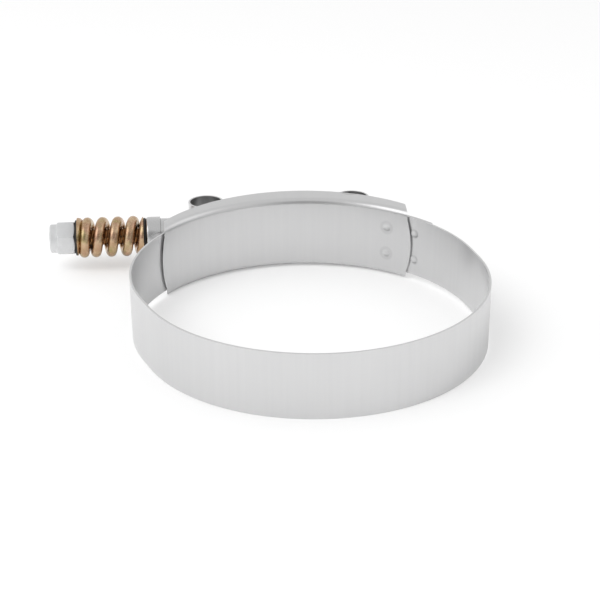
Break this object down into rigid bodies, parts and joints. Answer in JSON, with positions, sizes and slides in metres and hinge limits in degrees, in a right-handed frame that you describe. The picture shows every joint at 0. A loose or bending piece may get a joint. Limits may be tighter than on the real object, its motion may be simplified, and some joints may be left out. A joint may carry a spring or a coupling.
{
  "type": "t bolt clamp",
  "caption": "Band clamp for hoses and ducts: a stainless band with looped ends, a flanged bridge under its gap, and a T-bolt, lock nut and coil spring that draw the loops together",
  "frame": {"origin": "Middle of the ring's round front, halfway across the band, on the axis of the pipe it clamps", "axes": "+Z along the axis of the ring, +Y from there towards the bolt, the bolt along X with its nut on the -X side"},
  "size_m": [0.1301, 0.1188, 0.0246],
  "materials": {
    "stainless": "satin stainless sheet with a faint grain",
    "zinc": "bright zinc plated steel",
    "gold_zinc": "yellow chromated spring steel",
    "blackened": "blackened steel",
    "nylon": "plain nylon"
  },
  "bodies": {
    "clamp": {"band": "stainless", "bridge": "stainless", "t_bolt": "zinc", "trunnion": "zinc", "spring_seat": "zinc", "seat_washer": "blackened", "spring": "gold_zinc"},
    "nut_carriage": {"nut_washer": "blackened"},
    "nut": {"lock_nut": "zinc", "locking_insert": "nylon"}
  },
  "joints": [
    {"name": "nut_travel", "type": "slide", "parent": "clamp", "child": "nut_carriage", "axis": [1, 0, 0], "range_m": [0, 0.005], "deforming": ["spring"]},
    {"name": "nut_spin", "type": "hinge", "parent": "nut_carriage", "child": "nut", "pos_m": [-0.0714, 0.0617, -0.0015], "axis": [1, 0, 0], "range_deg": [0, 1800.1]}
  ],
  "couplings": [
    {"joint": "nut_spin", "follows": "nut_travel", "rad_per_m": 6283.2}
  ]
}
